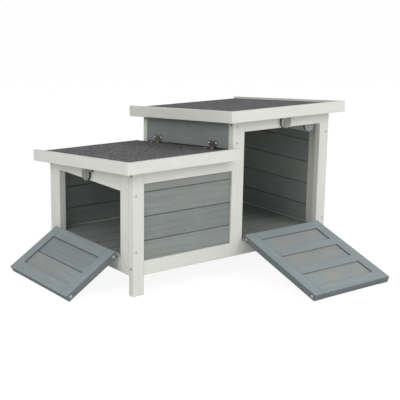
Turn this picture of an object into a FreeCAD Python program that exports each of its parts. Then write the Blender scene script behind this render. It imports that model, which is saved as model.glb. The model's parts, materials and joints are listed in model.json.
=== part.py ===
"""A small two-level rabbit hutch of framed and boarded timber, in millimetres, +Z up, front towards -Y.

The low cabin on the left has a lid that is hinged to the tall cabin's wall, and a doorway in its left side. The tall
cabin on the right has a doorway in its front. Both doors are hinged along the bottom and let down to the ground as
ramps, which is how they stand here. The model is laid out from the front left leg's outer corner and is moved at the
end, so that the origin is the middle of the whole hutch on the ground.
"""
import FreeCAD
import Part
import math
import os

V = FreeCAD.Vector
X_AXIS, Y_AXIS, Z_AXIS = V(1, 0, 0), V(0, 1, 0), V(0, 0, 1)

# Body
BODY_WIDTH = 635.0
BODY_DEPTH = 400.0
TIMBER = 18.0                 # thickness of every frame member
LEG_WIDTH = 32.0
FRONT_STILE = 37.5            # side stile behind a front leg
BACK_STILE = 32.0             # side stile in front of a back leg
MIDDLE_POST = (300.5, 338.5)  # span along X
EASE = 1.2                    # rounding of a batten's long edges
RAIL_BOTTOM = 50.0
RAIL_TOP = 85.5
LOW_PANEL_TOP = 276.5         # top of the boards beside the low cabin's front
LOW_DOOR_TOP = 253.0
TALL_DOOR_TOP = 373.5
BACK_LOW_PANEL_TOP = 247.0
BACK_TALL_PANEL_TOP = 343.0
RIGHT_PANEL_TOP = 340.0
CUT_OFF = 500.0               # height of a member before it is cut to the roof's slope

# Roofs
ROOF_FALL = 0.09              # drop towards the back, per unit of depth
ROOF_TILT = math.degrees(math.atan(ROOF_FALL))
LOW_SEAT = 319.0              # height of the roof's underside at the front face
TALL_SEAT = 414.5
LID_GAP = 0.3                 # between the closed lid and the frame
ROOF_FRONT = -27.0
ROOF_BACK = 432.0
LID_SPAN = (-32.0, 298.4)
LID_FASCIA_END = 304.5
LID_HINGE_BATTEN = (262.0, 296.0)
LID_FREE_BATTEN = (23.0, 41.0)
LID_BATTEN_ENDS = (24.0, 376.0)
TALL_ROOF_SPAN = (273.5, 667.0)
DECK = 9.0
FELT = 2.0
FASCIA = 12.0
FASCIA_HEIGHT = 29.0
FASCIA_LIP = 5.0              # fascia above the felt

# Boards
BOARD = 8.0
BOARD_COVER = 60.5
FIRST_JOINT = 73.5
BOARD_RECESS = 6.0            # outer face of the boards behind the frame's face
HOUSING = 5.0                 # depth of the frame's groove
HOUSING_PLAY = 0.3
V_GROOVE = 1.6
FLOOR_BOARDS = 6
TONGUE = 4.0
TONGUE_THICKNESS = 2.8

# Partition between the cabins, above the lid
HINGE_BOARD = (301.0, 306.0)
PARTITION = (306.0, 324.0)
PASSAGE_TOP = 256.0
PASSAGE_RAIL = 30.0
HINGE_RAIL_BOTTOM = 305.0     # the rail that takes the hinges' screws
HINGE_BOARD_SLOT = (-1.0, 2.8)     # gap between its two boards, below and above the lid's felt

# Ramp doors
RAMP_THICKNESS = 17.4
RAMP_STILE = 32.0
RAMP_RAIL = 31.0
RAMP_PANEL_RECESS = 4.0       # below the walking side
LEFT_RAMP = (290.0, 163.0)    # width and height
FRONT_RAMP = (261.0, 282.5)
LEFT_RAMP_CENTRE = 202.9      # along Y
FRONT_RAMP_CENTRE = 470.5     # along X
RAMP_AXIS_HEIGHT = 86.0
RAMP_BOTTOM_GAP = 0.3         # bottom edge above the hinge axis when shut
LEFT_RAMP_JOINT = 87.0        # between its two boards, above the hinge axis when shut
FRONT_RAMP_JOINTS = (0.35, 0.65)   # shares of the door's height
TREAD_BATTEN = 27.0
RAMP_HINGE_INSET = 62.0       # middle of a hinge from the door's side
EDGE_SCREW_INSET = 10.0

# Hinges
PIN_OFFSET = 3.0              # pin axis in front of the leaves' seat
PIN_RADIUS = 1.2
PIN_PLAY = 0.05
KNUCKLE_RADIUS = 2.6
KNUCKLE_GAP = 0.4
LEAF = 1.2
LEAF_HEIGHT = 16.5
RAMP_HINGE_WIDTH = 38.0
LID_HINGE_WIDTH = 40.0
LID_KNUCKLE_WIDTH = 26.0
LID_HINGE_PLACES = (80.0, 326.0)   # along the slope
LID_PIN_X = HINGE_BOARD[0] - PIN_OFFSET

# Turn buttons and stop tab
TAB_RADIUS = 17.5
BUTTON_THICKNESS = 7.0
BUTTON_GAP = 1.0
BUTTON_ABOVE_DOOR = 26.5
BUTTON_CENTRE = (5.7, -10.5)  # middle of the round grip from the pivot, so that it turns clear of the roof
BUTTON_TOP = 7.0
CATCH_REACH = 36.0            # of the catch beside the pivot
CATCH_WIDTH = 8.5
LEFT_BUTTON_PLACE = 210.2     # along Y
FRONT_BUTTON_PLACE = 467.3    # along X
STOP_TAB_PLACE = 582.0        # along X
STOP_TAB_DROP = 5.0           # of its centre below the doorway's top edge

# Screws
SCREW_INSET = 9.0             # from the body's outer edge
FRONT_SCREWS = {"left": (250.0, 111.0), "middle": (387.0, 347.0), "right": (349.0, 110.0)}
BACK_SCREWS = {"left": (240.0, 111.0), "middle": (353.0, 120.0), "right": (330.0, 110.0)}
SCREW_BELOW_ROOF = 20.5       # sunk screws under the roof line
SUNK_DEPTH = 3.0
SUNK_HOLE_RADIUS = 3.3


def box(x, y, z):
    """A block that fills the given spans."""
    return Part.makeBox(x[1] - x[0], y[1] - y[0], z[1] - z[0], V(x[0], y[0], z[0]))


def timber(x, y, z):
    """A planed batten that fills the given spans, with its four long edges eased."""
    block = box(x, y, z)
    longest = max(edge.Length for edge in block.Edges)
    return block.makeFillet(EASE, [edge for edge in block.Edges if edge.Length > longest - 0.01])


def prism(points, direction):
    """A solid with the given flat outline, pushed along direction."""
    return Part.Face(Part.makePolygon(points + [points[0]])).extrude(direction)


def centred(middle, width):
    return (middle - width / 2, middle + width / 2)


def under_roof(shape, seat):
    """Cut a wall member off along the sloping underside of its roof."""
    front, back, top = -100.0, BODY_DEPTH + 100.0, 2 * CUT_OFF
    outline = [(front, seat - ROOF_FALL * front), (back, seat - ROOF_FALL * back), (back, top), (front, top)]
    wedge = prism([V(-100, y, z) for y, z in outline], X_AXIS * (BODY_WIDTH + 200))
    return shape.cut(wedge)


def tilted(shape, seat):
    """Lean a roof piece, modelled level at its seat, down towards the back."""
    leaning = shape.copy()
    leaning.rotate(V(0, 0, seat), X_AXIS, -ROOF_TILT)
    return leaning


def cut_all(shape, tools):
    for tool in tools:
        if shape.BoundBox.intersect(tool.BoundBox):
            shape = shape.cut(tool)
    return shape


def drilled(members, tools):
    """Cut the same grooves or screw holes out of every member that they reach."""
    return {name: Part.makeCompound([cut_all(solid, tools) for solid in member.Solids])
            for name, member in members.items()}


# ---------------------------------------------------------------- boards

def board_outline(low, high, has_groove, has_tongue):
    """Across and through a board: V-grooved edges, a tongue on its upper edge and a groove in its lower one."""
    middle = BOARD / 2
    near, far = middle - TONGUE_THICKNESS / 2, middle + TONGUE_THICKNESS / 2
    points = [(low + V_GROOVE, 0), (low, V_GROOVE)]
    if has_groove:
        depth = low + TONGUE + 0.3
        points += [(low, near - 0.1), (depth, near - 0.1), (depth, far + 0.1), (low, far + 0.1)]
    points += [(low, BOARD - V_GROOVE), (low + V_GROOVE, BOARD)]
    points += [(high - V_GROOVE, BOARD), (high, BOARD - V_GROOVE)]
    if has_tongue:
        points += [(high, far), (high + TONGUE, far), (high + TONGUE, near), (high, near)]
    points += [(high, V_GROOVE), (high - V_GROOVE, 0)]
    return points


def boards(start, along, length, across, normal, joints):
    """Tongue-and-groove boards side by side, meeting at the given places across."""
    rows = []
    for number, (low, high) in enumerate(zip(joints, joints[1:])):
        outline = board_outline(low, high, number > 0, number < len(joints) - 2)
        points = [start + across * place + normal * depth for place, depth in outline]
        rows.append(prism(points, along * length))
    return Part.makeCompound(rows)


def wall_joints(top):
    """Board joints from the bottom rail's groove up to the top rail's groove."""
    low, high = RAIL_TOP - HOUSING + HOUSING_PLAY, top + HOUSING - HOUSING_PLAY
    between = [FIRST_JOINT + BOARD_COVER * row for row in range(1, 8)]
    return [low] + [joint for joint in between if low < joint < high - V_GROOVE] + [high]


def front_or_back_boards(span, top, outer_face, inward):
    start = V(span[0] - HOUSING + HOUSING_PLAY, outer_face + inward * BOARD_RECESS, 0)
    length = span[1] - span[0] + 2 * (HOUSING - HOUSING_PLAY)
    return boards(start, X_AXIS, length, Z_AXIS, Y_AXIS * inward, wall_joints(top))


def housing(span, top, outer_face, inward):
    """The space that a front or back panel takes, with its grooves in the frame."""
    y = sorted((outer_face + inward * BOARD_RECESS, outer_face + inward * (BOARD_RECESS + BOARD)))
    return box((span[0] - HOUSING, span[1] + HOUSING), y, (RAIL_TOP - HOUSING, top + HOUSING))


# ---------------------------------------------------------------- frame

def front_and_back():
    """Legs, middle posts, rails and boards of the front and back walls."""
    low_bay = (LEG_WIDTH, MIDDLE_POST[0])
    tall_bay = (MIDDLE_POST[1], BODY_WIDTH - LEG_WIDTH)
    pieces = {}
    walls = (("front", 0.0, 1, LOW_PANEL_TOP, TALL_DOOR_TOP),
             ("back", BODY_DEPTH, -1, BACK_LOW_PANEL_TOP, BACK_TALL_PANEL_TOP))
    for side, face, inward, low_top, tall_top in walls:
        y = sorted((face, face + inward * TIMBER))
        members = {
            "left_leg": under_roof(timber((0, LEG_WIDTH), y, (0, CUT_OFF)), LOW_SEAT),
            "middle_post": under_roof(timber(MIDDLE_POST, y, (RAIL_TOP, CUT_OFF)), TALL_SEAT),
            "right_leg": under_roof(timber((BODY_WIDTH - LEG_WIDTH, BODY_WIDTH), y, (0, CUT_OFF)), TALL_SEAT),
            "bottom_rail": timber((LEG_WIDTH, BODY_WIDTH - LEG_WIDTH), y, (RAIL_BOTTOM, RAIL_TOP)),
            "low_top_rail": under_roof(timber(low_bay, y, (low_top, CUT_OFF)), LOW_SEAT),
            "tall_top_rail": under_roof(timber(tall_bay, y, (tall_top, CUT_OFF)), TALL_SEAT),
        }
        panels = [housing(low_bay, low_top, face, inward)]
        pieces[side + "_low_boards"] = front_or_back_boards(low_bay, low_top, face, inward)
        if side == "back":
            panels.append(housing(tall_bay, tall_top, face, inward))
            pieces["back_tall_boards"] = front_or_back_boards(tall_bay, tall_top, face, inward)
        pieces.update({side + "_" + name: member for name, member in drilled(members, panels).items()})
    return pieces


def side_wall(side, x, seat, opening_top):
    """Stiles and rails of one side, between the front and back frames."""
    front_stile = (TIMBER, TIMBER + FRONT_STILE)
    back_stile = (BODY_DEPTH - TIMBER - BACK_STILE, BODY_DEPTH - TIMBER)
    bay = (front_stile[1], back_stile[0])
    return {
        side + "_stiles": Part.makeCompound([under_roof(timber(x, y, (RAIL_BOTTOM, CUT_OFF)), seat)
                                             for y in (front_stile, back_stile)]),
        side + "_bottom_rail": timber(x, bay, (RAIL_BOTTOM, RAIL_TOP)),
        side + "_top_rail": under_roof(timber(x, bay, (opening_top, CUT_OFF)), seat),
    }


def right_wall():
    """The right side is closed with boards that sit in the frame's grooves."""
    x = (BODY_WIDTH - TIMBER, BODY_WIDTH)
    outer = BODY_WIDTH - BOARD_RECESS
    bay = (TIMBER + FRONT_STILE, BODY_DEPTH - TIMBER - BACK_STILE)
    groove = box((outer - BOARD, outer), (bay[0] - HOUSING, bay[1] + HOUSING),
                 (RAIL_TOP - HOUSING, RIGHT_PANEL_TOP + HOUSING))
    pieces = drilled(side_wall("right", x, TALL_SEAT, RIGHT_PANEL_TOP), [groove])
    start = V(outer, bay[0] - HOUSING + HOUSING_PLAY, 0)
    length = bay[1] - bay[0] + 2 * (HOUSING - HOUSING_PLAY)
    pieces["right_boards"] = boards(start, Y_AXIS, length, Z_AXIS, -X_AXIS, wall_joints(RIGHT_PANEL_TOP))
    return pieces


def partition():
    """The frame above the passage between the cabins. It carries the lid's hinges on a board with a slot below it,
    level with the lid, and a second board below the slot."""
    inner = (TIMBER, BODY_DEPTH - TIMBER)
    stiles = (inner[0], inner[0] + BACK_STILE), (inner[1] - BACK_STILE, inner[1])
    bay = (stiles[0][1], stiles[1][0])
    felt_top = LOW_SEAT + LID_GAP + DECK + FELT
    slot = box(HINGE_BOARD, (0, BODY_DEPTH), (felt_top + HINGE_BOARD_SLOT[0], felt_top + HINGE_BOARD_SLOT[1]))
    hinge_boards = under_roof(box(HINGE_BOARD, inner, (PASSAGE_TOP, CUT_OFF)), TALL_SEAT)
    return {
        "hinge_board": hinge_boards.cut(tilted(slot, LOW_SEAT + LID_GAP)),
        "partition_stiles": Part.makeCompound([under_roof(timber(PARTITION, y, (RAIL_TOP, CUT_OFF)), TALL_SEAT)
                                               for y in stiles]),
        "partition_bottom_rail": timber(PARTITION, bay, (PASSAGE_TOP, PASSAGE_TOP + PASSAGE_RAIL)),
        "partition_top_rail": under_roof(timber(PARTITION, bay, (HINGE_RAIL_BOTTOM, CUT_OFF)), TALL_SEAT),
    }


def floor():
    """Six floor boards level with the rails' tops, on three cleats."""
    start = V(TIMBER + HOUSING_PLAY, 0, RAIL_TOP - BOARD)
    length = BODY_WIDTH - 2 * (TIMBER + HOUSING_PLAY)
    first = (BODY_DEPTH - FLOOR_BOARDS * BOARD_COVER) / 2
    joints = [first + BOARD_COVER * row for row in range(FLOOR_BOARDS + 1)]
    z = (RAIL_TOP - BOARD - TIMBER, RAIL_TOP - BOARD)
    y = (TIMBER, BODY_DEPTH - TIMBER)
    lefts = (TIMBER, PARTITION[0], BODY_WIDTH - 2 * TIMBER)
    return {
        "floor_boards": boards(start, X_AXIS, length, Y_AXIS, Z_AXIS, joints),
        "floor_cleats": Part.makeCompound([timber((x, x + TIMBER), y, z) for x in lefts]),
    }


# ---------------------------------------------------------------- roofs

def roof(name, seat, span, fascias, front_end):
    """Deck, felt and fascias. The felt turns down over the deck's back edge."""
    left, right = span
    deck_x = (left + FASCIA, right - FASCIA if "right" in fascias else right)
    deck_y = (ROOF_FRONT + FASCIA, ROOF_BACK)
    felt_z = (seat + DECK, seat + DECK + FELT)
    top = felt_z[1] + FASCIA_LIP
    fascia_z = (top - FASCIA_HEIGHT, top)
    felt = box(deck_x, (deck_y[0], ROOF_BACK + FELT), felt_z)
    side_x = {"left": (left, left + FASCIA), "right": (right - FASCIA, right)}
    pieces = {
        name + "_deck": box(deck_x, deck_y, (seat, seat + DECK)),
        name + "_felt": felt.fuse(box(deck_x, (ROOF_BACK, ROOF_BACK + FELT), (seat, felt_z[0]))).removeSplitter(),
        name + "_front_fascia": timber((left, front_end), (ROOF_FRONT, deck_y[0]), fascia_z),
    }
    side_fascias = name + ("_side_fascias" if len(fascias) > 1 else "_side_fascia")
    pieces[side_fascias] = Part.makeCompound([timber(side_x[side], deck_y, fascia_z) for side in fascias])
    return {key: tilted(piece, seat) for key, piece in pieces.items()}


def lid():
    """The low cabin's roof, with a batten under the hinge screws and one inside the free side."""
    seat = LOW_SEAT + LID_GAP
    pieces = roof("lid", seat, LID_SPAN, ("left",), LID_FASCIA_END)
    z = (seat - TIMBER, seat)
    battens = [timber(x, LID_BATTEN_ENDS, z) for x in (LID_HINGE_BATTEN, LID_FREE_BATTEN)]
    pieces["lid_battens"] = tilted(Part.makeCompound(battens), seat)
    return pieces


def tall_roof():
    return roof("tall_roof", TALL_SEAT, TALL_ROOF_SPAN, ("left", "right"), TALL_ROOF_SPAN[1])


# ---------------------------------------------------------------- screws

def screw(radius, head_height, length):
    """A round-headed screw with a cross recess. Its head is outside the face y = 0 and its shank runs inside (+Y)."""
    head = Part.makeCylinder(radius, head_height, V(0, 0, 0), -Y_AXIS)
    rim = [edge for edge in head.Edges if abs(edge.BoundBox.YMin + head_height) < 0.01 and edge.Length > radius]
    head = head.makeFillet(head_height * 0.6, rim[:1])
    arm, slot = centred(0, radius), centred(0, radius * 0.28)
    recess = (-head_height - 0.1, -head_height * 0.25)
    head = head.cut(box(arm, recess, slot).fuse(box(slot, recess, arm)))
    shank = Part.makeCylinder(radius * 0.5, length, V(0, 0, 0), Y_AXIS)
    return head.fuse(shank).removeSplitter()


def placed(shape, place, turn=0.0):
    """Turn a piece about the vertical, then move it."""
    moved = shape.copy()
    moved.rotate(V(0, 0, 0), Z_AXIS, turn)
    moved.translate(place)
    return moved


def face_screws():
    """Pan-head screws through the legs and middle posts into the stiles behind them."""
    columns = {"left": SCREW_INSET, "middle": sum(PARTITION) / 2, "right": BODY_WIDTH - SCREW_INSET}
    one = screw(3.5, 0.9, 45.0)
    screws = []
    for face, turn, heights in ((0.0, 0.0, FRONT_SCREWS), (BODY_DEPTH, 180.0, BACK_SCREWS)):
        screws += [placed(one, V(columns[column], face, z), turn)
                   for column in columns for z in heights[column]]
    return screws


def side_screw_places():
    """Place and turn of each sunk screw through a post's side into a rail's end."""
    low = (RAIL_BOTTOM + RAIL_TOP) / 2
    places = []
    for y in (TIMBER / 2, BODY_DEPTH - TIMBER / 2):
        below_roof = -ROOF_FALL * y - SCREW_BELOW_ROOF
        places += [(V(0, y, LOW_SEAT + below_roof), -90.0), (V(0, y, low), -90.0),
                   (V(MIDDLE_POST[0], y, TALL_SEAT + below_roof), -90.0),
                   (V(BODY_WIDTH, y, TALL_SEAT + below_roof), 90.0), (V(BODY_WIDTH, y, low), 90.0)]
    return places


def sunk_screws():
    """Screws set in holes in the posts' sides, and the holes themselves."""
    one = screw(3.0, 1.0, 52.0)
    hole = Part.makeCylinder(SUNK_HOLE_RADIUS, SUNK_DEPTH + 1.0, V(0, -1.0, 0), Y_AXIS)
    one.translate(V(0, SUNK_DEPTH, 0))
    places = side_screw_places()
    return [placed(one, *place) for place in places], [placed(hole, *place) for place in places]


# ---------------------------------------------------------------- hinges

def hinge_leaf(outline, knuckles, bore, screws):
    """A leaf that stands up from its pin. The pin lies along X through the origin, and the leaf's seat is the plane
    y = PIN_OFFSET. knuckles are the spans along the pin that belong to this leaf."""
    seat = PIN_OFFSET - LEAF
    plate = prism([V(x, seat, z) for x, z in outline], Y_AXIS * LEAF)
    for low, high in knuckles:
        root = box((low, high), (seat, PIN_OFFSET), (0, KNUCKLE_RADIUS + KNUCKLE_GAP + 0.1))
        barrel = Part.makeCylinder(KNUCKLE_RADIUS, high - low, V(low, 0, 0), X_AXIS)
        plate = plate.fuse(root).fuse(barrel)
    plate = plate.cut(Part.makeCylinder(bore, 60, V(-30, 0, 0), X_AXIS))
    for x, z in screws:
        plate = plate.cut(Part.makeCylinder(1.5, 4 * LEAF, V(x, 0, z), Y_AXIS))
    return plate.removeSplitter()


def turned_about_pin(shape, degrees):
    turned = shape.copy()
    turned.rotate(V(0, 0, 0), X_AXIS, degrees)
    return turned


def upside_down(shape):
    return shape.mirror(V(0, 0, 0), Z_AXIS)


def knuckle_spans(width):
    """The middle third for the moving leaf and the two ends for the fixed one."""
    third = width / 6
    moving = [(-third, third)]
    fixed = [(-width / 2, -third - KNUCKLE_GAP), (third + KNUCKLE_GAP, width / 2)]
    return moving, fixed


def hinge(width, outline, screws):
    """Moving leaf, fixed leaf and pin of one hinge, spread flat, the moving leaf above the pin."""
    moving, fixed = knuckle_spans(width)
    return {
        "moving": hinge_leaf(outline, moving, PIN_RADIUS + PIN_PLAY, screws),
        "fixed": upside_down(hinge_leaf(outline, fixed, PIN_RADIUS, screws)),
        "pin": Part.makeCylinder(PIN_RADIUS, width, V(-width / 2, 0, 0), X_AXIS),
        "screw_places": screws,
    }


def ramp_hinge():
    low, high = KNUCKLE_RADIUS + KNUCKLE_GAP, LEAF_HEIGHT
    half = RAMP_HINGE_WIDTH / 2
    outline = [(-half, low), (half, low), (half, high), (-half, high)]
    return hinge(RAMP_HINGE_WIDTH, outline, [(-half + 7, 9.5), (half - 7, 9.5)])


def lid_hinge():
    """A butterfly hinge: a waist at the pin, and two ears on each leaf with a shallow notch between them."""
    low, high = KNUCKLE_RADIUS + KNUCKLE_GAP, LEAF_HEIGHT
    waist, half = LID_KNUCKLE_WIDTH / 2, LID_HINGE_WIDTH / 2
    right = [(waist, low), (waist, low + 1.2), (half, low + 3.2), (half, high - 1), (half - 1, high),
             (half - 13, high), (half - 15, high - 1.4)]
    outline = right + [(-x, z) for x, z in reversed(right)]
    return hinge(LID_KNUCKLE_WIDTH, outline, [(-half + 5, 11.0), (half - 5, 11.0)])


def leaf_screws(places, below=False):
    """Screws through a leaf that stands up from its pin, or hangs below it."""
    one = screw(2.7, 0.8, 11.0)
    sign = -1 if below else 1
    return [placed(one, V(x, PIN_OFFSET - LEAF, sign * z)) for x, z in places]


def lid_hinges():
    """Two butterfly hinges: a leaf up the hinge board, a leaf on the felt, and the pins."""
    seat = LOW_SEAT + LID_GAP
    pin_height = seat + DECK + FELT + PIN_OFFSET
    kit = lid_hinge()
    wall_leaf = upside_down(kit["fixed"])
    lid_leaf = upside_down(kit["moving"])
    wall_screws = leaf_screws(kit["screw_places"])
    lid_screws = leaf_screws(kit["screw_places"], below=True)
    groups = {"lid_hinge_wall_leaves": [wall_leaf], "lid_hinge_lid_leaves": [turned_about_pin(lid_leaf, -90)],
              "hinge_pins": [kit["pin"]], "hinge_screws": wall_screws,
              "lid_screws": [turned_about_pin(piece, -90) for piece in lid_screws]}
    return {name: [tilted(placed(piece, V(LID_PIN_X, y, pin_height), -90.0), seat)
                   for y in LID_HINGE_PLACES for piece in pieces] for name, pieces in groups.items()}


# ---------------------------------------------------------------- ramp doors

def open_angle(height):
    """How far a shut door turns about its pin until its far edge reaches the ground."""
    reach = math.hypot(PIN_OFFSET, height + RAMP_BOTTOM_GAP)
    shut = math.degrees(math.atan2(height + RAMP_BOTTOM_GAP, PIN_OFFSET))
    return 180.0 + math.degrees(math.asin(RAMP_AXIS_HEIGHT / reach)) - shut


def ramp_members(width, height):
    """Two full-height stiles and two rails of a shut door, seen with its pin along X through the origin."""
    low, high = RAMP_BOTTOM_GAP, RAMP_BOTTOM_GAP + height
    y = (PIN_OFFSET, PIN_OFFSET + RAMP_THICKNESS)
    inner = centred(0, width - 2 * RAMP_STILE)
    half = width / 2
    stiles = [timber((-half, inner[0]), y, (low, high)), timber((inner[1], half), y, (low, high))]
    rails = [timber(inner, y, (low, low + RAMP_RAIL)), timber(inner, y, (high - RAMP_RAIL, high))]
    return stiles, rails


def ramp(name, size, batten_count, board_joints, turn, place):
    """Frame, boards, tread battens, hinges and screws of one door, let down to the ground."""
    width, height = size
    stiles, rails = ramp_members(width, height)
    opening = (RAMP_BOTTOM_GAP + RAMP_RAIL, RAMP_BOTTOM_GAP + height - RAMP_RAIL)
    inner = centred(0, width - 2 * RAMP_STILE)
    walking_side = PIN_OFFSET + RAMP_THICKNESS
    board_y = (walking_side - RAMP_PANEL_RECESS - BOARD, walking_side - RAMP_PANEL_RECESS)
    groove = box((inner[0] - HOUSING, inner[1] + HOUSING), board_y,
                 (opening[0] - HOUSING, opening[1] + HOUSING))
    play = HOUSING - HOUSING_PLAY
    joints = [opening[0] - play] + board_joints + [opening[1] + play]
    start = V(inner[0] - play, board_y[0], 0)
    panel = boards(start, X_AXIS, inner[1] - inner[0] + 2 * play, Z_AXIS, Y_AXIS, joints)
    kit = ramp_hinge()
    hinge_places = [-width / 2 + RAMP_HINGE_INSET, width / 2 - RAMP_HINGE_INSET]
    screw_side = screw(3.5, 0.8, 45.0)
    edge_heights = (RAMP_BOTTOM_GAP + EDGE_SCREW_INSET, RAMP_BOTTOM_GAP + height - EDGE_SCREW_INSET)
    middle = PIN_OFFSET + RAMP_THICKNESS / 2
    screws = [placed(screw_side, V(-width / 2, middle, z), -90.0) for z in edge_heights]
    screws += [placed(screw_side, V(width / 2, middle, z), 90.0) for z in edge_heights]
    screws += [placed(piece, V(x, 0, 0)) for x in hinge_places for piece in leaf_screws(kit["screw_places"])]
    moving = {
        name + "_stiles": [cut_all(piece, [groove] + screws) for piece in stiles],
        name + "_rails": [cut_all(piece, [groove] + screws) for piece in rails],
        name + "_boards": [panel],
        name + "_hinge_leaves": [placed(kit["moving"], V(x, 0, 0)) for x in hinge_places],
        name + "_screws": screws,
    }
    if batten_count:
        field = (opening[1] - opening[0] - batten_count * TREAD_BATTEN) / (batten_count + 1)
        lows = [opening[0] + field * (n + 1) + TREAD_BATTEN * n for n in range(batten_count)]
        y = (board_y[1], walking_side)
        moving[name + "_battens"] = [timber(inner, y, (low, low + TREAD_BATTEN)) for low in lows]
    fixed = {
        "ramp_hinge_frame_leaves": [placed(kit["fixed"], V(x, 0, 0)) for x in hinge_places],
        "hinge_pins": [placed(kit["pin"], V(x, 0, 0)) for x in hinge_places],
        "hinge_screws": [placed(piece, V(x, 0, 0)) for x in hinge_places
                         for piece in leaf_screws(kit["screw_places"], below=True)],
    }
    let_down = {key: [turned_about_pin(piece, open_angle(height)) for piece in pieces]
                for key, pieces in moving.items()}
    return {key: [placed(piece, place, turn) for piece in pieces]
            for key, pieces in {**let_down, **fixed}.items()}


def left_ramp():
    place = V(-PIN_OFFSET, LEFT_RAMP_CENTRE, RAMP_AXIS_HEIGHT)
    return ramp("left_ramp", LEFT_RAMP, 0, [LEFT_RAMP_JOINT], -90.0, place)


def front_ramp():
    place = V(FRONT_RAMP_CENTRE, -PIN_OFFSET, RAMP_AXIS_HEIGHT)
    joints = [RAMP_BOTTOM_GAP + FRONT_RAMP[1] * share for share in FRONT_RAMP_JOINTS]
    return ramp("front_ramp", FRONT_RAMP, 2, joints, 0.0, place)


# ---------------------------------------------------------------- turn buttons

def round_tab(centre_x, centre_z):
    return Part.makeCylinder(TAB_RADIUS, BUTTON_THICKNESS, V(centre_x, 0, centre_z), Y_AXIS)


def turn_button():
    """A wooden button: a round grip that hangs below the pivot and a catch that points sideways."""
    grip = round_tab(*BUTTON_CENTRE)
    rounding = CATCH_WIDTH / 2
    end = CATCH_REACH - rounding
    catch_round = Part.makeCylinder(rounding, BUTTON_THICKNESS, V(end, 0, BUTTON_TOP - rounding), Y_AXIS)
    catch = box((0, end), (0, BUTTON_THICKNESS), (BUTTON_TOP - CATCH_WIDTH, BUTTON_TOP)).fuse(catch_round)
    button = grip.fuse(catch).removeSplitter()
    button = button.cut(Part.makeCylinder(1.8, BUTTON_THICKNESS, V(0, 0, 0), Y_AXIS))
    button.translate(V(0, -BUTTON_GAP - BUTTON_THICKNESS, 0))
    return button


def pivot_screw():
    """The screw that a button turns on, and the washer behind it."""
    pivot = screw(3.2, 0.9, BUTTON_THICKNESS + BUTTON_GAP + 14.0)
    pivot.translate(V(0, -BUTTON_THICKNESS - BUTTON_GAP - 0.3, 0))
    washer = Part.makeCylinder(5.0, BUTTON_GAP - 0.3, V(0, 0, 0), -Y_AXIS)
    return pivot.fuse(washer).removeSplitter()


def button_places():
    return {"left": (V(0, LEFT_BUTTON_PLACE, LOW_DOOR_TOP + BUTTON_ABOVE_DOOR), -90.0),
            "front": (V(FRONT_BUTTON_PLACE, 0, TALL_DOOR_TOP + BUTTON_ABOVE_DOOR), 0.0)}


def turn_buttons():
    button, pivot = turn_button(), pivot_screw()
    places = button_places()
    pieces = {side + "_turn_button": placed(button, *place) for side, place in places.items()}
    return pieces, [placed(pivot, *place) for place in places.values()]


def stop_tab():
    """The tab behind the front doorway's top rail, which the shut door comes up against."""
    tab = round_tab(0.0, -STOP_TAB_DROP)
    tab.translate(V(STOP_TAB_PLACE, TIMBER, TALL_DOOR_TOP))
    return tab


# ---------------------------------------------------------------- assembly

def gathered(groups):
    """Join lists of pieces that share a node's name."""
    nodes = {}
    for group in groups:
        for name, pieces in group.items():
            nodes.setdefault(name, []).extend(pieces)
    return nodes


def hutch():
    """Every node of the hutch, laid out from the front left leg's corner."""
    body = {**front_and_back(), **side_wall("left", (0, TIMBER), LOW_SEAT, LOW_DOOR_TOP), **right_wall(),
            **partition(), **floor(), **tall_roof(), "door_stop_tab": stop_tab()}
    metal = gathered([lid_hinges(), left_ramp(), front_ramp()])
    buttons, pivots = turn_buttons()
    sunk, holes = sunk_screws()
    faced = face_screws()
    in_body = faced + sunk + holes + pivots + metal["hinge_screws"]
    nodes = drilled(body, in_body)
    nodes.update(drilled(lid(), metal["lid_screws"]))
    nodes.update(buttons)
    nodes.update({name: Part.makeCompound(pieces) for name, pieces in metal.items()})
    nodes["face_screws"] = Part.makeCompound(faced)
    nodes["sunk_screws"] = Part.makeCompound(sunk)
    nodes["pivot_screws"] = Part.makeCompound(pivots)
    return nodes


def centre_on_ground(nodes):
    """The move that puts the origin under the middle of the whole hutch."""
    whole = Part.makeCompound(list(nodes.values())).optimalBoundingBox()
    return V(-(whole.XMin + whole.XMax) / 2, -(whole.YMin + whole.YMax) / 2, -whole.ZMin)


def main():
    os.makedirs("parts", exist_ok=True)
    nodes = hutch()
    shift = centre_on_ground(nodes)
    for name, shape in nodes.items():
        shape.translate(shift)
        Part.makeCompound(shape.Solids).exportStep("parts/" + name + ".step")


main()
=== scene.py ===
"""Looks of a small two-level rabbit hutch: painted timber, grey-washed boards and ramps, mineral roofing felt,
bronze hinges and zinc screws, on a pale studio floor."""

import json
import math

import bmesh
import bpy
from mathutils import Euler, Matrix, Vector, noise


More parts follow.
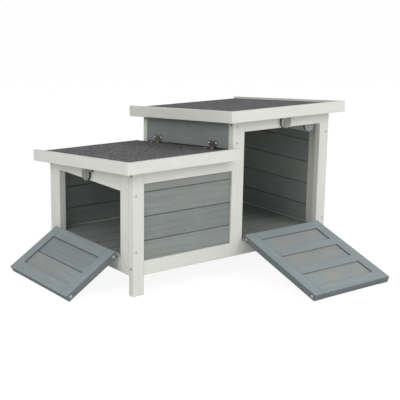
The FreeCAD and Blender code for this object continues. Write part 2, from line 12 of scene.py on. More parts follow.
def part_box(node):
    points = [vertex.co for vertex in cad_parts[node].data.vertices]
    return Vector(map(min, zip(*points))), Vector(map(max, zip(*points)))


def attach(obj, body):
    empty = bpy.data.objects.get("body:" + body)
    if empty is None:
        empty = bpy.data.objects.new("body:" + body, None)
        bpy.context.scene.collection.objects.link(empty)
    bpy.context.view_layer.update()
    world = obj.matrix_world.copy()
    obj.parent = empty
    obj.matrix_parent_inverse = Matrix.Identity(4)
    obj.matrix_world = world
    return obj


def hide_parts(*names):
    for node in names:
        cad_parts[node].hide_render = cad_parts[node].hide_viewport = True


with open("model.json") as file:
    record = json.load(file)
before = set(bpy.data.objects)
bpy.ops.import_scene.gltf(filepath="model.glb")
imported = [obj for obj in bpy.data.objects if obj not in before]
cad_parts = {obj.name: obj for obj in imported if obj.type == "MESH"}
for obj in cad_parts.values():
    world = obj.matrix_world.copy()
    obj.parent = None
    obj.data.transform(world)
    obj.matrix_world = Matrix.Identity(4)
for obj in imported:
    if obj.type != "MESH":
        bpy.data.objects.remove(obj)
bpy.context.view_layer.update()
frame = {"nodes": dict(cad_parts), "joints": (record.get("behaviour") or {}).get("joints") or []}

bl_info = {
    "name": "Rabbit hutch looks",
    "version": (1, 0, 0),
    "blender": (4, 5, 0),
    "location": "View3D > Sidebar > Hutch",
    "description": "Finishes, roofing felt, turn buttons and studio for a two-level rabbit hutch",
    "category": "Object",
}

X_AXIS = Vector((1, 0, 0))
Y_AXIS = Vector((0, 1, 0))
Z_AXIS = Vector((0, 0, 1))
MM = 0.001

JOINTS = {joint["name"]: joint for joint in frame["joints"]}
ROOF_DOWN = Vector(JOINTS["lid_hinge"]["axis"]).normalized()   # down the slope, towards the back
ROOF_UP = X_AXIS.cross(ROOF_DOWN)

# How a pattern is turned so that its own X runs along the wood's grain
ALONG_X = Euler((0, 0, 0))
ALONG_Y = Euler((0, 0, math.radians(-90)))
ALONG_Z = Euler((0, math.radians(90), 0))

# Where boards meet: the lowest joint between wall boards, and the width that each wall or floor board covers
WALL_JOINT, BOARD_COVER = 73.5 * MM, 60.5 * MM
# Each ramp's boards: from the hinge pin to the first joint, the boards' width, and the seed of their shades
RAMP_BOARDS = {"left_ramp": (87.0 * MM, 55.0 * MM, 5.0), "front_ramp": (99.2 * MM, 84.7 * MM, 9.0)}
# Seeds of the shades of the other panels' boards
SEEDS = {"front": 3.0, "back": 11.0, "side": 23.0, "floor": 31.0}
# Painted light and painted shade, as tones against the other boards: the right wall's boards take a paler copy
# of the wash, painted light inside the tall cabin, and the partition's top rail a near-black copy, painted
# shade in the slot under the hinge board
PAINTED_LIGHT_SIDE, PAINTED_SHADE_RAIL = 1.22, 0.2

# How many swells, and how many grits, there are to a metre of felt
SWELLS, GRITS = 28, 310
# Sides of the circles that a turn button's grip and catch are made from
TAB_SIDES, CATCH_SIDES = 56, 20

# Each softbox: where it stands, how wide it is, and the stage property that holds its power
SOFTBOXES = {"key_softbox": ((1.7, -2.9, 2.6), 2.4, "key_power"),
             "fill_softbox": ((-2.8, -0.8, 2.4), 2.2, "fill_power"),
             "doorway_softbox": ((-0.7, -3.4, 0.8), 1.6, "doorway_power")}
LIGHTS_AIM = Vector((0, 0, 0.2))
WHITE = (1, 1, 1, 1)
# Strength at which the surround and the floor's glow look plain white
PLAIN_WHITE = 1.1


# ---------------------------------------------------------------- reading the frame

def reach(node, direction):
    """Lowest and highest place of a CAD node along a direction, in metres."""
    places = [direction.dot(corner.co) for corner in frame["nodes"][node].data.vertices]
    return min(places), max(places)


def widest_face_normal(node):
    """The direction that the node's largest flat surface faces, taken upwards."""
    normal = max(frame["nodes"][node].data.polygons, key=lambda face: face.area).normal.copy()
    return normal if normal.z > 0 else -normal


def grain_turn(along, outward):
    """The turn that brings a pattern's X to the grain and its Z to the board's face."""
    across = outward.cross(along)
    return Matrix((along, across, outward)).to_euler()


# ---------------------------------------------------------------- node trees

def put(tree, kind, inputs=None, **settings):
    """Adds a shader node. inputs gives each socket, by name or number, a value or another node's output."""
    made = tree.nodes.new("ShaderNode" + kind)
    for name, value in settings.items():
        setattr(made, name, value)
    for socket, value in (inputs or {}).items():
        if isinstance(value, bpy.types.NodeSocket):
            tree.links.new(value, made.inputs[socket])
        else:
            made.inputs[socket].default_value = value
    return made


def maths(tree, operation, first, second=0.0, clamp=False):
    return put(tree, "Math", {0: first, 1: second}, operation=operation, use_clamp=clamp).outputs[0]


def vector_maths(tree, operation, first, second=(0, 0, 0)):
    return put(tree, "VectorMath", {0: first, 1: second}, operation=operation).outputs[0]


def ranged(tree, value, low, high, to_low=0.0, to_high=1.0):
    """The value's span from low to high, spread over another span and held inside it."""
    return put(tree, "MapRange", {0: value, 1: low, 2: high, 3: to_low, 4: to_high}).outputs[0]


def mixed(tree, share, first, second, blend="MIX"):
    """Mixes two colours. Each is a node's output or three parts."""
    first, second = [part if isinstance(part, bpy.types.NodeSocket) else (*part, 1) for part in (first, second)]
    return put(tree, "Mix", {0: share, 6: first, 7: second}, data_type="RGBA", blend_type=blend).outputs[2]


def toned(tone, share):
    """A colour with each of its parts multiplied."""
    return [share * part for part in tone]


def clouds(tree, vector, scale, detail=2.0, roughness=0.5):
    inputs = {"Vector": vector, "Scale": scale, "Detail": detail, "Roughness": roughness}
    return put(tree, "TexNoise", inputs).outputs["Fac"]


def new_group(name, inputs, outputs):
    """An empty shader node group with named sockets, its input node and its output node."""
    tree = bpy.data.node_groups.new(name, "ShaderNodeTree")
    for label, (kind, default) in inputs.items():
        socket = tree.interface.new_socket(name=label, in_out="INPUT", socket_type="NodeSocket" + kind)
        if default is not None:
            socket.default_value = default
    for label in outputs:
        tree.interface.new_socket(name=label, in_out="OUTPUT", socket_type="NodeSocketFloat")
    return tree, tree.nodes.new("NodeGroupInput").outputs, tree.nodes.new("NodeGroupOutput").inputs


def wood_grain_group():
    """Fine streaks, growth rings and soft blotches of softwood, with the grain along X."""
    sockets = {"Vector": ("Vector", None), "Lines": ("Float", 420.0), "Length": ("Float", 22.0)}
    tree, given, out = new_group("wood_grain", sockets, ["Streaks", "Rings", "Blotches"])
    shorter = maths(tree, "DIVIDE", 1.0, given["Length"])
    shrink = put(tree, "CombineXYZ", {0: shorter, 1: 1.0, 2: 1.0}).outputs[0]
    wander = clouds(tree, given["Vector"], 9.0, 2.0)
    sway, lift = maths(tree, "MULTIPLY", wander, 0.012), maths(tree, "MULTIPLY", wander, 0.009)
    drift = put(tree, "CombineXYZ", {0: 0.0, 1: sway, 2: lift}).outputs[0]
    bent = vector_maths(tree, "ADD", given["Vector"], drift)
    stretched = vector_maths(tree, "MULTIPLY", bent, shrink)
    streaks = clouds(tree, stretched, given["Lines"], 4.0, 0.62)
    figure = clouds(tree, stretched, maths(tree, "MULTIPLY", given["Lines"], 0.055), 1.5, 0.4)
    rings = maths(tree, "SINE", maths(tree, "MULTIPLY", figure, 85.0))
    tree.links.new(ranged(tree, streaks, 0.32, 0.68), out["Streaks"])
    tree.links.new(ranged(tree, rings, -1.0, 1.0), out["Rings"])
    tree.links.new(ranged(tree, clouds(tree, given["Vector"], 17.0, 3.0), 0.3, 0.7), out["Blotches"])
    return tree


def eased_edges_group():
    """Where a squared timber's surface turns round its edges, broken up along them."""
    sockets = {"Normal": ("Vector", None), "Vector": ("Vector", None), "Breaks": ("Float", 90.0)}
    tree, given, out = new_group("eased_edges", sockets, ["Mask"])
    parts = put(tree, "SeparateXYZ", {0: vector_maths(tree, "ABSOLUTE", given["Normal"])}).outputs
    flattest = maths(tree, "MAXIMUM", maths(tree, "MAXIMUM", parts[0], parts[1]), parts[2])
    turned = ranged(tree, flattest, 0.985, 0.75)
    broken = ranged(tree, clouds(tree, given["Vector"], given["Breaks"], 3.0, 0.6), 0.35, 0.65)
    tree.links.new(maths(tree, "MULTIPLY", turned, broken), out["Mask"])
    return tree


def board_shade_group():
    """A shade of its own for each board, counted off across the panel, and where boards meet."""
    sockets = {"Place": ("Float", 0.0), "First": ("Float", 0.0), "Width": ("Float", 0.06),
               "Seed": ("Float", 0.0)}
    tree, given, out = new_group("board_shade", sockets, ["Shade", "Joint"])
    count = maths(tree, "DIVIDE", maths(tree, "SUBTRACT", given["Place"], given["First"]), given["Width"])
    number = maths(tree, "ADD", maths(tree, "FLOOR", count), given["Seed"])
    shade = put(tree, "TexWhiteNoise", {"W": number}, noise_dimensions="1D").outputs["Value"]
    tree.links.new(shade, out["Shade"])
    off_middle = maths(tree, "ABSOLUTE", maths(tree, "SUBTRACT", maths(tree, "FRACT", count), 0.5))
    from_joint = maths(tree, "MULTIPLY", maths(tree, "SUBTRACT", 0.5, off_middle), given["Width"])
    tree.links.new(ranged(tree, from_joint, 1.5 * MM, 0.3 * MM), out["Joint"])
    return tree


def grouped(tree, group, inputs):
    """Places a node group and returns its outputs."""
    return put(tree, "Group", inputs, node_tree=bpy.data.node_groups[group]).outputs


def new_finish(name, **constants):
    """A material with a bare Principled shader, whose constant sockets are set at once."""
    material = bpy.data.materials.new(name)
    material.use_nodes = True
    tree = material.node_tree
    tree.nodes.clear()
    shader = put(tree, "BsdfPrincipled")
    for label, value in constants.items():
        shader.inputs[label.replace("_", " ")].default_value = value
    put(tree, "OutputMaterial", {"Surface": shader.outputs[0]})
    return material, tree, shader.inputs


def turned_coordinates(tree, turn):
    """Places on the piece, and its normals, with X along the grain."""
    given = put(tree, "TexCoord").outputs
    place = put(tree, "Mapping", {"Vector": given["Object"], "Rotation": turn}).outputs[0]
    normal = {"Vector": given["Normal"], "Rotation": turn}
    return place, put(tree, "Mapping", normal, vector_type="VECTOR").outputs[0]


def relief(tree, shader, height, depth, strength=1.0):
    bump = put(tree, "Bump", {"Height": height, "Distance": depth, "Strength": strength})
    tree.links.new(bump.outputs[0], shader["Normal"])


# ---------------------------------------------------------------- finishes

def white_paint(name, turn):
    """Matt off-white paint, thin enough that the softwood's grain and eased edges show through, with painted
    shade along the eased edges where members meet.
    """
    colours = bpy.context.scene.hutch_finishes
    material, tree, shader = new_finish(name, Specular_IOR_Level=0.35)
    place, facing = turned_coordinates(tree, turn)
    grain = grouped(tree, "wood_grain", {"Vector": place, "Lines": 380.0, "Length": 30.0})
    brush = clouds(tree, vector_maths(tree, "MULTIPLY", place, (0.03, 1, 1)), 1100.0, 2.0)
    edges = grouped(tree, "eased_edges", {"Normal": facing, "Vector": place})["Mask"]
    streaked = maths(tree, "MULTIPLY", grain["Streaks"], ranged(tree, grain["Blotches"], 0.2, 0.9, 0.25, 0.8))
    body = mixed(tree, streaked, colours.white, colours.white_streak)
    body = mixed(tree, maths(tree, "MULTIPLY", grain["Rings"], 0.16), body, colours.white_streak)
    # Eased edges darkened: thin paint over them, and painted shade along them and at the joints between members
    body = mixed(tree, maths(tree, "MULTIPLY", edges, 0.75), body, colours.white_edge_thin_and_shaded)
    tree.links.new(body, shader["Base Color"])
    tree.links.new(ranged(tree, grain["Streaks"], 0.0, 1.0, 0.46, 0.62), shader["Roughness"])
    ribs, bristles = maths(tree, "MULTIPLY", grain["Streaks"], 0.6), maths(tree, "MULTIPLY", brush, 0.35)
    relief(tree, shader, maths(tree, "ADD", ribs, bristles), 0.00022)
    return material


def wood_wash(name, turn, light, dark, warm, warmth=0.35, boards=None, contrast=0.7, worn=None, cut=None):
    """Thin stain over softwood: streaks and rings show, and bare wood warms it in patches.

    boards: the axis across the panel in the turned coordinates, the first joint, the boards' width and a seed
    worn: the colour of the edges, which otherwise get a darker tone of the wash: a deeper wash and painted
    shade along the eased edges
    cut: the turned axis that the pieces' faces look along, and the colour of their sides; on the ramps' stiles
    and rails this colour is painted shade on the side faces
    """
    material, tree, shader = new_finish(name, Specular_IOR_Level=0.3)
    place, facing = turned_coordinates(tree, turn)
    across = put(tree, "SeparateXYZ", {0: place}).outputs
    grain_place = place
    if boards:
        axis, first, width, seed = boards
        counted = {"Place": across[axis], "First": first, "Width": width, "Seed": seed}
        shade, joint = grouped(tree, "board_shade", counted)
        along, deep = maths(tree, "MULTIPLY", shade, 3.7), maths(tree, "MULTIPLY", shade, 1.9)
        shift = put(tree, "CombineXYZ", {0: along, 1: 0.0, 2: deep}).outputs[0]
        grain_place = vector_maths(tree, "ADD", place, shift)
    grain = grouped(tree, "wood_grain", {"Vector": grain_place, "Lines": 300.0, "Length": 26.0})
    edges = grouped(tree, "eased_edges", {"Normal": facing, "Vector": grain_place})["Mask"]
    streaks = maths(tree, "MULTIPLY", grain["Streaks"], 0.55 * contrast)
    figure = maths(tree, "ADD", streaks, maths(tree, "MULTIPLY", grain["Rings"], 0.3 * contrast))
    depth = maths(tree, "ADD", figure, maths(tree, "MULTIPLY", grain["Blotches"], 0.25), True)
    body = mixed(tree, depth, light, dark)
    patches = maths(tree, "MULTIPLY", ranged(tree, grain["Blotches"], 0.1, 1.0), warmth)
    if boards:
        patches = maths(tree, "MULTIPLY", patches, ranged(tree, shade, 0.1, 0.9, 0.35, 1.8))
    body = mixed(tree, patches, body, warm)
    # Edges darker: painted shade along eased edges and joints, with a deeper wash; on the battens, bare wood
    # instead
    body = mixed(tree, maths(tree, "MULTIPLY", edges, 0.8 if worn else 0.6), body, worn or toned(dark, 0.55))
    if boards:
        tone = ranged(tree, shade, 0.0, 1.0, 0.92, 1.07)
        lit = put(tree, "CombineColor", {0: tone, 1: tone, 2: tone}).outputs[0]
        body = mixed(tree, 1.0, body, lit, "MULTIPLY")
        body = mixed(tree, maths(tree, "MULTIPLY", joint, 0.6), body, toned(dark, 0.16))
    # Side faces take their own colour: painted shade on the ramps' stiles and rails, bare wood on the battens,
    # near black on the turn buttons and the stop
    if cut:
        axis, side_colour = cut
        faced = maths(tree, "ABSOLUTE", put(tree, "SeparateXYZ", {0: facing}).outputs[axis])
        body = mixed(tree, ranged(tree, faced, 0.8, 0.4, 0.0, 0.85), body, side_colour)
    tree.links.new(body, shader["Base Color"])
    tree.links.new(ranged(tree, figure, 0.0, 0.6, 0.5, 0.72), shader["Roughness"])
    relief(tree, shader, figure, 0.0003)
    return material


def bare_plywood(name, turn):
    """Unpainted plywood, with its face grain along X."""
    plywood = bpy.context.scene.hutch_finishes.plywood
    material, tree, shader = new_finish(name, Specular_IOR_Level=0.25)
    place, _ = turned_coordinates(tree, turn)
    grain = grouped(tree, "wood_grain", {"Vector": place, "Lines": 200.0, "Length": 14.0})
    body = mixed(tree, maths(tree, "MULTIPLY", grain["Rings"], 0.5), plywood, toned(plywood, 0.72))
    body = mixed(tree, maths(tree, "MULTIPLY", grain["Streaks"], 0.25), body, toned(plywood, 0.5))
    tree.links.new(body, shader["Base Color"])
    tree.links.new(ranged(tree, grain["Streaks"], 0.0, 1.0, 0.6, 0.8), shader["Roughness"])
    relief(tree, shader, grain["Streaks"], 0.0002)
    return material


def mineral_felt(name):
    """Bitumen felt under crushed slate: each granule has its own grey, and the clusters blotch it."""
    colours = bpy.context.scene.hutch_finishes
    material, tree, shader = new_finish(name, Specular_IOR_Level=0.3)
    place = put(tree, "TexCoord").outputs["Object"]
    cells = put(tree, "TexVoronoi", {"Vector": place, "Scale": 620.0}).outputs
    own = put(tree, "SeparateColor", {0: cells["Color"]}).outputs[0]
    clusters = ranged(tree, clouds(tree, place, 230.0, 1.5), 0.42, 0.6)
    drifts = ranged(tree, clouds(tree, place, 24.0, 3.0), 0.3, 0.7)
    share = maths(tree, "ADD", maths(tree, "MULTIPLY", own, 0.15), maths(tree, "MULTIPLY", clusters, 0.75))
    share = maths(tree, "ADD", share, maths(tree, "MULTIPLY", drifts, 0.14), True)
    body = mixed(tree, share, colours.felt_dark, colours.felt_light)
    body = mixed(tree, ranged(tree, own, 0.93, 0.97), body, toned(colours.felt_light, 1.7))
    tree.links.new(body, shader["Base Color"])
    tree.links.new(ranged(tree, own, 0.0, 1.0, 0.7, 0.95), shader["Roughness"])
    height = maths(tree, "SUBTRACT", maths(tree, "MULTIPLY", clusters, 0.5), cells["Distance"])
    relief(tree, shader, height, 0.0006, 0.8)
    return material


def plated_metal(name, pale, deep, smooth, rough, metal=1.0):
    """Plated steel: cloudy tint, and fine drawn lines in its sheen."""
    material, tree, shader = new_finish(name, Metallic=metal)
    place = put(tree, "TexCoord").outputs["Object"]
    tint = ranged(tree, clouds(tree, place, 170.0, 3.0, 0.6), 0.3, 0.7)
    drawn = clouds(tree, vector_maths(tree, "MULTIPLY", place, (1, 1, 0.1)), 2600.0, 2.0)
    tree.links.new(mixed(tree, tint, pale, deep), shader["Base Color"])
    tree.links.new(ranged(tree, drawn, 0.3, 0.7, smooth, rough), shader["Roughness"])
    relief(tree, shader, drawn, 0.00005, 0.6)
    return material


# ---------------------------------------------------------------- placing finishes and pieces

def finish_nodes(names, material):
    """Gives CAD nodes a material."""
    for name in names:
        node = frame["nodes"][name]
        if not node.material_slots:
            node.data.materials.append(material)
        for slot in node.material_slots:
            slot.material = material


def new_piece(name, shape, material, body, slot, *replaced):
    """Makes a finished mesh from a bmesh in the row frame, riding on a body in place of CAD nodes."""
    mesh = bpy.data.meshes.new(name)
    shape.to_mesh(mesh)
    shape.free()
    piece = bpy.data.objects.new(name, mesh)
    bpy.context.scene.collection.objects.link(piece)
    mesh.materials.append(material)
    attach(piece, body)
    if replaced:
        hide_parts(*replaced)
    return piece


def felt_sheet(name, node, body, material):
    """Roofing felt laid over a deck and turned down over its back edge, with a slightly uneven surface."""
    sizes = bpy.context.scene.hutch_sizes
    left, right = reach(node, X_AXIS)
    front, back = reach(node, ROOF_DOWN)
    hem, top = reach(node, ROOF_UP)
    shape = bmesh.new()
    outline = [(front, top), (back, top), (back, hem)]
    corners = [shape.verts.new(X_AXIS * left + ROOF_DOWN * down + ROOF_UP * up) for down, up in outline]
    edges = [shape.edges.new(pair) for pair in zip(corners, corners[1:])]
    wide = bmesh.ops.extrude_edge_only(shape, edges=edges)["geom"]
    moved = [part for part in wide if isinstance(part, bmesh.types.BMVert)]
    bmesh.ops.translate(shape, verts=moved, vec=X_AXIS * (right - left))
    fold = [edge for edge in shape.edges if len(edge.link_faces) == 2]
    bmesh.ops.bevel(shape, geom=fold, offset=sizes.felt_fold, offset_type="OFFSET", segments=3, profile=0.5,
                    affect="EDGES", material=-1)
    for direction, span in ((X_AXIS, right - left), (ROOF_DOWN, back - front)):
        cut = [edge for edge in shape.edges
               if abs((edge.verts[1].co - edge.verts[0].co).normalized().dot(direction)) > 0.999]
        bmesh.ops.subdivide_edges(shape, edges=cut, cuts=int(span / sizes.felt_pitch), use_grid_fill=True)
    bmesh.ops.recalc_face_normals(shape, faces=shape.faces)
    shape.normal_update()
    outward = ROOF_UP + ROOF_DOWN
    if sum(face.normal.dot(outward) * face.calc_area() for face in shape.faces) < 0:
        bmesh.ops.reverse_faces(shape, faces=shape.faces)
        shape.normal_update()
    for corner in shape.verts:
        swell = 0.5 + 0.5 * noise.noise(corner.co * SWELLS)
        grit = 0.5 + 0.5 * noise.noise(corner.co * GRITS)
        corner.co -= corner.normal * (sizes.felt_swell * swell + sizes.felt_grit * grit)
    for face in shape.faces:
        face.smooth = True
    piece = new_piece(name, shape, material, body, "roof_felt", node)
    thick = piece.modifiers.new("Thickness", "SOLIDIFY")
    thick.thickness = sizes.felt_thickness
    thick.offset = -1.0


def slab(shape, corners, front, back):
    """Thickens a flat outline in the XZ plane, from y = front to y = back, and softens its rims."""
    sizes = bpy.context.scene.hutch_sizes
    bmesh.ops.translate(shape, verts=corners, vec=Y_AXIS * front)
    outline = {face for corner in corners for face in corner.link_faces}
    far = bmesh.ops.extrude_face_region(shape, geom=list(outline))["geom"]
    moved = [part for part in far if isinstance(part, bmesh.types.BMVert)]
    bmesh.ops.translate(shape, verts=moved, vec=Y_AXIS * (back - front))
    shell = {face for corner in corners + moved for face in corner.link_faces}
    bmesh.ops.recalc_face_normals(shape, faces=[face for face in shape.faces if face in shell])
    edges = [edge for edge in shape.edges if not shell.isdisjoint(edge.link_faces)]
    rims = [edge for edge in edges if abs(edge.verts[0].co.y - edge.verts[1].co.y) < 1e-6]
    bmesh.ops.bevel(shape, geom=rims, offset=sizes.tab_rounding, offset_type="OFFSET", segments=2, profile=0.5,
                    affect="EDGES", material=-1)


def fluted_tab(radius, thickness, catch):
    """A round wooden tab with a nick at its foot and flutes down its face.

    It is centred on the origin with its front at y = 0. catch is the height, the end and the radius of the arm
    beside it, or None.
    """
    sizes = bpy.context.scene.hutch_sizes
    upright = Matrix.Rotation(math.radians(90), 4, "X")
    shape = bmesh.new()
    disc = bmesh.ops.create_circle(shape, cap_ends=True, radius=radius, segments=TAB_SIDES,
                                   matrix=upright)["verts"]
    foot = min(disc, key=lambda corner: corner.co.z)
    foot.co.z += sizes.tab_nick
    slab(shape, disc, 0.0, thickness)
    pitch = 2 * radius / (sizes.flute_count + 1)
    for number in range(sizes.flute_count):
        middle = -radius + pitch * (number + 1)
        for offset in (-0.3 * pitch, 0.0, 0.3 * pitch):
            geom = shape.verts[:] + shape.edges[:] + shape.faces[:]
            cut = (middle + offset, 0, 0)
            bmesh.ops.bisect_plane(shape, geom=geom, plane_co=cut, plane_no=X_AXIS, dist=1e-6)
        for corner in shape.verts:
            if abs(corner.co.x - middle) < 1e-5 and corner.co.y < thickness / 2:
                corner.co.y += sizes.flute_depth
    if catch:
        height, end, round_end = catch
        place = Matrix.Translation((0, 0, height)) @ upright
        arm = bmesh.ops.create_circle(shape, cap_ends=True, radius=round_end, segments=CATCH_SIDES,
                                      matrix=place)["verts"]
        tip = [corner for corner in arm if corner.co.x > 1e-6]
        bmesh.ops.translate(shape, verts=tip, vec=X_AXIS * (end - round_end))
        slab(shape, arm, sizes.catch_step, thickness - sizes.catch_step)
    return shape


def placed_tab(name, node, body, material, outward, centre, radius, catch=None):
    """Puts a round tab in place of its CAD node. outward is the way that its front faces."""
    back, front = reach(node, outward)
    shape = fluted_tab(radius, front - back, catch)
    across = Z_AXIS.cross(outward)
    place = Matrix((across, -outward, Z_AXIS)).transposed().to_4x4()
    place.translation = centre + outward * (front - outward.dot(centre))
    bmesh.ops.transform(shape, matrix=place, verts=shape.verts)
    bmesh.ops.recalc_face_normals(shape, faces=shape.faces)
    new_piece(name, shape, material, body, "grey_wash", node)


# ---------------------------------------------------------------- properties

def colour(name, description, default):
    return bpy.props.FloatVectorProperty(name=name, description=description, default=default, subtype="COLOR",
                                         size=3, min=0.0, max=1.0)


def length(name, description, default):
    return bpy.props.FloatProperty(name=name, description=description, default=default, unit="LENGTH",
                                   precision=5)


def power(name, description, default):
    return bpy.props.FloatProperty(name=name, description=description, default=default, unit="POWER")


def point(name, description, default):
    return bpy.props.FloatVectorProperty(name=name, description=description, default=default, size=3,
                                         subtype="TRANSLATION")


class HutchFinishes(bpy.types.PropertyGroup):
    """Colours of the hutch's finishes"""

    white: colour("White paint", "Paint on the frame and fascias", (0.73, 0.735, 0.69))
    white_streak: colour("White paint, streaks", "Where the grain shows through the paint", (0.64, 0.645, 0.6))
    # Thin paint over the eased edges, and painted shade along them
    white_edge_thin_and_shaded: colour("White paint, edges", "Where the paint is thin over an eased edge", (0.4, 0.385, 0.33))
    wash_light: colour("Wall wash", "Wash on the wall and floor boards", (0.272, 0.3, 0.296))
    wash_dark: colour("Wall wash, grain", "Wash over the dark grain", (0.172, 0.195, 0.19))
    wash_warm: colour("Wall wash, bare wood", "Wood showing through the wash", (0.27, 0.262, 0.235))
    ramp_light: colour("Ramp wash", "Wash on the ramps' frames", (0.3, 0.35, 0.368))
    ramp_dark: colour("Ramp wash, grain", "Wash over the ramps' dark grain", (0.195, 0.232, 0.242))
    ramp_warm: colour("Ramp wash, bare wood", "Wood showing through the ramps' wash", (0.322, 0.324, 0.3))
    ramp_worn: colour("Ramp battens, edges", "Bare wood on the battens' edges", (0.27, 0.235, 0.19))
    tab: colour("Turn buttons", "Wash on the turn buttons and the stop", (0.42, 0.43, 0.41))
    plywood: colour("Roof decks", "Bare plywood under the roofs", (0.46, 0.36, 0.25))
    felt_dark: colour("Felt, dark granules", "Darkest slate granules", (0.012, 0.0115, 0.0125))
    felt_light: colour("Felt, light granules", "Lightest common slate granules", (0.2, 0.195, 0.205))
    bronze: colour("Hinges", "Bronze plating", (0.27, 0.225, 0.18))
    zinc: colour("Screws", "Zinc plating", (0.66, 0.74, 0.75))
    bright_zinc: colour("Hinge screws", "Bright zinc plating", (0.95, 0.95, 0.93))
    clouded_zinc: colour("Hinge screws, clouds", "Where the bright zinc is clouded", (0.8, 0.8, 0.79))
    phosphate: colour("Sunk screws", "Black phosphate", (0.03, 0.03, 0.03))


class HutchSizes(bpy.types.PropertyGroup):
    """Sizes of the pieces made here"""

    felt_thickness: length("Felt thickness", "Thickness of the roofing felt", 0.002)
    felt_fold: length("Felt fold", "Rounding where the felt turns down at the back", 0.0022)
    felt_pitch: length("Felt mesh", "Distance between the felt's vertices", 0.006)
    felt_swell: length("Felt swell", "Depth of the felt's broad unevenness", 0.00035)
    felt_grit: length("Felt grit", "Depth of the felt's coarse grit", 0.0003)
    tab_radius: length("Button radius", "Radius of a turn button's round grip", 0.0175)
    tab_rounding: length("Button rounding", "Rounding of a turn button's edges", 0.0006)
    tab_nick: length("Button nick", "Depth of the nick at a turn button's foot", 0.0025)
    catch_step: length("Catch step", "How much thinner the catch is than the grip, on each side", 0.0003)
    catch_width: length("Catch width", "Height of a turn button's catch", 0.0085)
    flute_depth: length("Flute depth", "Depth of the flutes down a turn button", 0.0007)
    flute_count: bpy.props.IntProperty(name="Flutes", description="Flutes across a turn button", default=5,
                                       min=1)


class HutchStage(bpy.types.PropertyGroup):
    """Camera and light"""

    camera_place: point("Camera", "Where the camera stands", (-1.4857, -1.9307, 0.785))
    camera_aim: point("Aim", "What the camera looks at", (0.0881, 0.1128, 0.1564))
    camera_roll: bpy.props.FloatProperty(name="Roll", description="Turn of the camera about its own axis",
                                         default=math.radians(0.957), subtype="ANGLE")
    focal_length: bpy.props.FloatProperty(name="Focal length", default=87.206, unit="CAMERA",
                                          description="Focal length on a 36 mm wide sensor")
    key_power: power("Key light", "Power of the main softbox", 51.0)
    fill_power: power("Fill light", "Power of the softbox on the left ramp's side", 36.0)
    doorway_power: power("Doorway light", "Power of the low softbox that looks in", 9.0)
    sky: bpy.props.FloatProperty(name="Surround", description="Brightness of the pale surround", default=0.6,
                                 min=0.0)
    floor_size: length("Floor", "Width of the floor", 40.0)
    floor_glow: bpy.props.FloatProperty(name="Floor glow", default=0.8, min=0.0, max=1.0, subtype="FACTOR",
                                        description="How far the floor is washed out to white")


# ---------------------------------------------------------------- operators

class HUTCH_OT_patterns(bpy.types.Operator):
    """Build the node groups that the finishes share"""

    bl_idname = "hutch.patterns"
    bl_label = "Build shared patterns"

    def execute(self, context):
        wood_grain_group()
        eased_edges_group()
        board_shade_group()
        return {"FINISHED"}


class HUTCH_OT_frame(bpy.types.Operator):
    """Paint the legs, posts, stiles and rails"""

    bl_idname = "hutch.frame"
    bl_label = "Paint the frame"

    def execute(self, context):
        posts = ("_left_leg", "_middle_post", "_right_leg")
        rails = ("_bottom_rail", "_low_top_rail", "_tall_top_rail")
        upright = [side + post for side in ("front", "back") for post in posts]
        lengthwise = [side + rail for side in ("front", "back") for rail in rails]
        crosswise = [side + rail for side in ("left", "right") for rail in ("_bottom_rail", "_top_rail")]
        finish_nodes(upright + ["left_stiles", "right_stiles"], white_paint("white_paint_upright", ALONG_Z))
        finish_nodes(lengthwise, white_paint("white_paint_lengthwise", ALONG_X))
        finish_nodes(crosswise + ["floor_cleats"], white_paint("white_paint_crosswise", ALONG_Y))
        return {"FINISHED"}


class HUTCH_OT_walls(bpy.types.Operator):
    """Stain the wall and floor boards, the partition and the board behind the lid's hinges, with painted light
    on the right wall's boards and painted shade on the partition's top rail
    """

    bl_idname = "hutch.walls"
    bl_label = "Stain the boards"

    def execute(self, context):
        colours = context.scene.hutch_finishes
        tones = (colours.wash_light, colours.wash_dark, colours.wash_warm)
        # Paler tones: painted light on the right wall's boards
        lit_tones = [toned(tone, PAINTED_LIGHT_SIDE) for tone in tones]
        # Near-black tones: painted shade on the partition's top rail
        shaded = [toned(tone, PAINTED_SHADE_RAIL) for tone in tones]
        floor = (1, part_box("floor_boards")[0].y, BOARD_COVER, SEEDS["floor"])
        front, back, side = ((2, WALL_JOINT, BOARD_COVER, SEEDS[panel]) for panel in ("front", "back", "side"))
        washes = [
            (["front_low_boards"], wood_wash("grey_wash_front", ALONG_X, *tones, boards=front)),
            (["back_low_boards", "back_tall_boards"],
             wood_wash("grey_wash_back", ALONG_X, *tones, boards=back)),
            # The right wall's boards take the paler tones: painted light inside the tall cabin
            (["right_boards"], wood_wash("grey_wash_side", ALONG_Y, *lit_tones, boards=side)),
            (["floor_boards"], wood_wash("grey_wash_floor", ALONG_X, *tones, 0.5, boards=floor)),
            # The partition's top rail, seen through the slot under the hinge board, is painted shade
            (["partition_top_rail"], wood_wash("deep_wash_partition_top_rail", ALONG_Y, *shaded, 0.2)),
            (["partition_bottom_rail"], wood_wash("grey_wash_partition_bottom_rail", ALONG_Y, *tones, 0.2)),
            (["partition_stiles"], wood_wash("grey_wash_partition_stiles", ALONG_Z, *tones, 0.2)),
            (["hinge_board"], wood_wash("grey_wash_hinge_board", ALONG_Y, *tones, 0.1, contrast=0.4)),
        ]
        for nodes, wash in washes:
            finish_nodes(nodes, wash)
        return {"FINISHED"}


